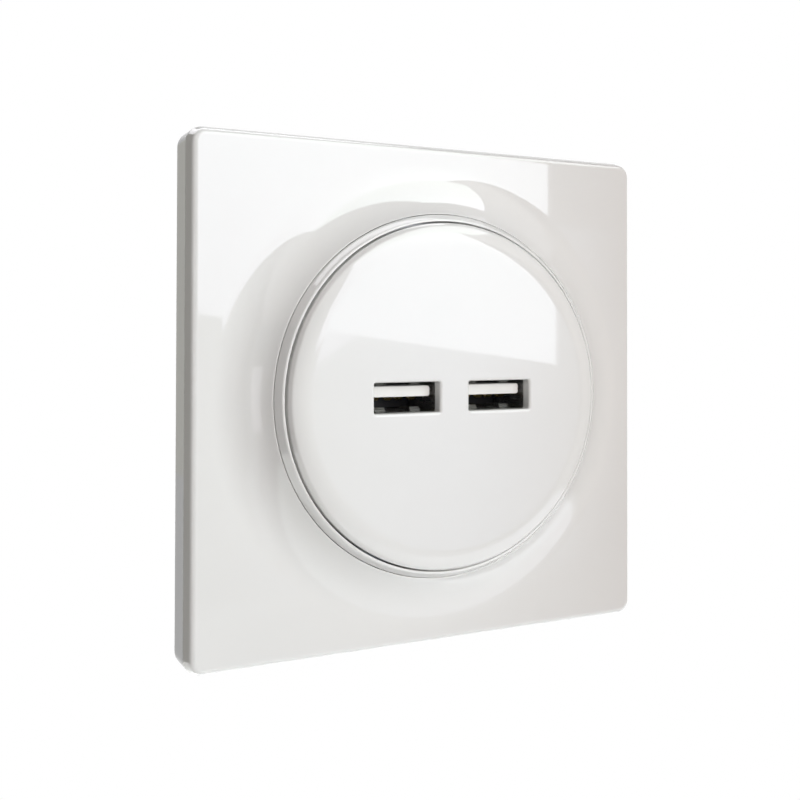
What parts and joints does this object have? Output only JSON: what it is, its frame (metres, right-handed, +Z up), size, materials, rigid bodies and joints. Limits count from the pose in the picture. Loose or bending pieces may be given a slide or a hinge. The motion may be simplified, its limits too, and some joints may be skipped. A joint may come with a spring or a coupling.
{
  "type": "usb wall socket",
  "caption": "Flush wall socket: square gloss white plate that swells in a smooth curve to a round face with USB-A mouths, on a module with screw terminals.",
  "frame": {"origin": "centre of the wall plane behind the plate, on the axis of the round face", "axes": "+X to the right seen from the front, +Z up, the front looks along -Y and the module goes along +Y into the wall"},
  "size_m": [0.088, 0.0473, 0.088],
  "materials": {
    "gloss_white": "high gloss moulded plastic",
    "tongue_white": "smooth moulded plastic",
    "housing_white": "fine moulded grain",
    "case_dark": "spark-eroded moulded grain",
    "insulator_black": "smooth moulded plastic",
    "zinc_steel": "bright zinc plate",
    "usb_steel": "bright nickel plate",
    "screw_steel": "bright zinc plate",
    "clamp_steel": "zinc plate",
    "contact_gold": "gold flash",
    "terminal_brass": "bare brass",
    "board_green": "solder mask",
    "ferrite": "sintered",
    "bobbin_black": "moulded",
    "winding_tape": "polyester tape",
    "can_sleeve": "shrink sleeve",
    "fuse_body": "ceramic",
    "disc_blue": "dipped coating",
    "chip_black": "moulded epoxy"
  },
  "bodies": {
    "socket": {"cover_plate": "gloss_white", "bezel_ring": "gloss_white", "face_cover": "gloss_white", "support_frame": "zinc_steel", "front_housing": "housing_white", "rear_housing": "case_dark", "housing_screws": "screw_steel", "main_board": "board_green", "transformer_core": "ferrite", "transformer_bobbin": "bobbin_black", "transformer_winding": "winding_tape", "bulk_capacitors": "can_sleeve", "output_capacitors": "can_sleeve", "fuse": "fuse_body", "input_choke": "ferrite", "safety_capacitor": "disc_blue", "bridge_rectifier": "chip_black", "control_chip": "chip_black", "optocoupler": "chip_black", "output_rectifier": "chip_black", "usb_shell_left": "usb_steel", "usb_base_left": "insulator_black", "usb_tongue_left": "tongue_white", "usb_contacts_left": "contact_gold", "usb_shell_right": "usb_steel", "usb_base_right": "insulator_black", "usb_tongue_right": "tongue_white", "usb_contacts_right": "contact_gold", "contact_bar_live": "terminal_brass", "contact_bar_neutral": "terminal_brass"},
    "live_screw": {"terminal_screw_live": "screw_steel"},
    "live_clamp": {"terminal_clamp_live": "clamp_steel"},
    "neutral_screw": {"terminal_screw_neutral": "screw_steel"},
    "neutral_clamp": {"terminal_clamp_neutral": "clamp_steel"}
  },
  "joints": [
    {"name": "live_screw_turn", "type": "hinge", "parent": "socket", "child": "live_screw", "pos_m": [-0.01, 0.029, -0.012], "axis": [0, -1, 0], "range_deg": [0, 1921]},
    {"name": "live_clamp_rise", "type": "slide", "parent": "socket", "child": "live_clamp", "axis": [0, 1, 0], "range_m": [0, 0.0032]},
    {"name": "neutral_screw_turn", "type": "hinge", "parent": "socket", "child": "neutral_screw", "pos_m": [0.01, 0.029, -0.012], "axis": [0, -1, 0], "range_deg": [0, 1921]},
    {"name": "neutral_clamp_rise", "type": "slide", "parent": "socket", "child": "neutral_clamp", "axis": [0, 1, 0], "range_m": [0, 0.0032]}
  ],
  "couplings": [
    {"joint": "live_screw_turn", "follows": "live_clamp_rise", "rad_per_m": 10472},
    {"joint": "neutral_screw_turn", "follows": "neutral_clamp_rise", "rad_per_m": 10472}
  ]
}
